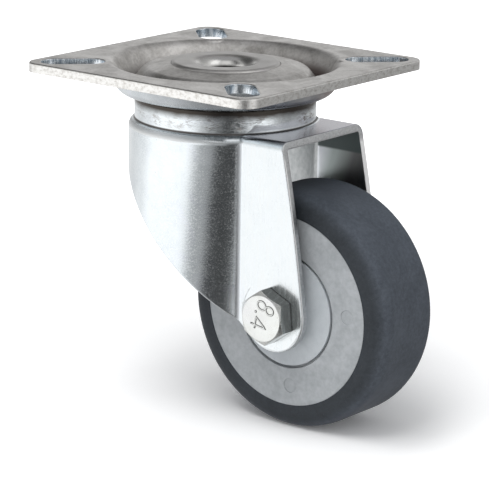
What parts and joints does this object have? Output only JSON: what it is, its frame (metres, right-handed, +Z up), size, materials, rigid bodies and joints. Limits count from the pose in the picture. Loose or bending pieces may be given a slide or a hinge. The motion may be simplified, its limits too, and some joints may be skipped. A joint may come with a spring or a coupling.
{
  "type": "swivel castor",
  "caption": "Swivel castor with a square fixing plate, pressed steel fork, rubber-tyred wheel, thread guards and ball bearings in the swivel and the wheel.",
  "frame": {"origin": "centre of the fixing plate's top face, on the swivel axis", "axes": "+Z up along the swivel axis, out of the plate's top face; +X the way the wheel trails at rest; the axle lies along Y, with the bolt's head on the -Y side"},
  "size_m": [0.0788, 0.06, 0.0727],
  "materials": {
    "plate_zinc": "satin zinc plating",
    "fork_zinc": "bright zinc plating",
    "pin_zinc": "zinc plating",
    "bolt_zinc": "bright zinc plating",
    "sleeve_steel": "plain turned steel",
    "bearing_steel": "polished",
    "cage_nylon": "moulded",
    "tyre_rubber": "matte",
    "wheel_plastic": "moulded, fine grain",
    "guard_plastic": "moulded, smooth",
    "insert_nylon": "moulded"
  },
  "bodies": {
    "base": {"top_plate": "plate_zinc", "king_pin": "pin_zinc", "lower_race": "pin_zinc"},
    "upper_ball_ring": {"upper_balls": "bearing_steel"},
    "lower_ball_ring": {"lower_balls": "bearing_steel"},
    "swivel_fork": {"fork": "fork_zinc", "axle_bolt": "bolt_zinc", "axle_nut": "bolt_zinc", "nut_insert": "insert_nylon", "axle_sleeve": "sleeve_steel", "thread_guard_near": "guard_plastic", "thread_guard_far": "guard_plastic", "bearing_inner_ring_near": "bearing_steel", "bearing_inner_ring_far": "bearing_steel"},
    "wheel": {"tyre": "tyre_rubber", "wheel_centre": "wheel_plastic", "bearing_outer_ring_near": "bearing_steel", "bearing_outer_ring_far": "bearing_steel"},
    "bearing_set_near": {"bearing_balls_near": "bearing_steel", "bearing_cage_near": "cage_nylon"},
    "bearing_set_far": {"bearing_balls_far": "bearing_steel", "bearing_cage_far": "cage_nylon"}
  },
  "joints": [
    {"name": "swivel", "type": "hinge", "parent": "base", "child": "swivel_fork", "pos_m": [0, 0, 0], "axis": [0, 0, 1], "continuous": true},
    {"name": "wheel_spin", "type": "hinge", "parent": "swivel_fork", "child": "wheel", "pos_m": [0.02384, 0, -0.04774], "axis": [0, 1, 0], "continuous": true},
    {"name": "upper_ball_roll", "type": "hinge", "parent": "base", "child": "upper_ball_ring", "pos_m": [0, 0, 0], "axis": [0, 0, 1], "continuous": true},
    {"name": "lower_ball_roll", "type": "hinge", "parent": "base", "child": "lower_ball_ring", "pos_m": [0, 0, 0], "axis": [0, 0, 1], "continuous": true},
    {"name": "bearing_roll_near", "type": "hinge", "parent": "swivel_fork", "child": "bearing_set_near", "pos_m": [0.02384, 0, -0.04774], "axis": [0, 1, 0], "continuous": true},
    {"name": "bearing_roll_far", "type": "hinge", "parent": "swivel_fork", "child": "bearing_set_far", "pos_m": [0.02384, 0, -0.04774], "axis": [0, 1, 0], "continuous": true}
  ],
  "couplings": [
    {"joint": "upper_ball_roll", "follows": "swivel", "ratio": 0.5},
    {"joint": "lower_ball_roll", "follows": "swivel", "ratio": 0.5},
    {"joint": "bearing_roll_near", "follows": "wheel_spin", "ratio": 0.63233},
    {"joint": "bearing_roll_far", "follows": "wheel_spin", "ratio": 0.63233}
  ]
}
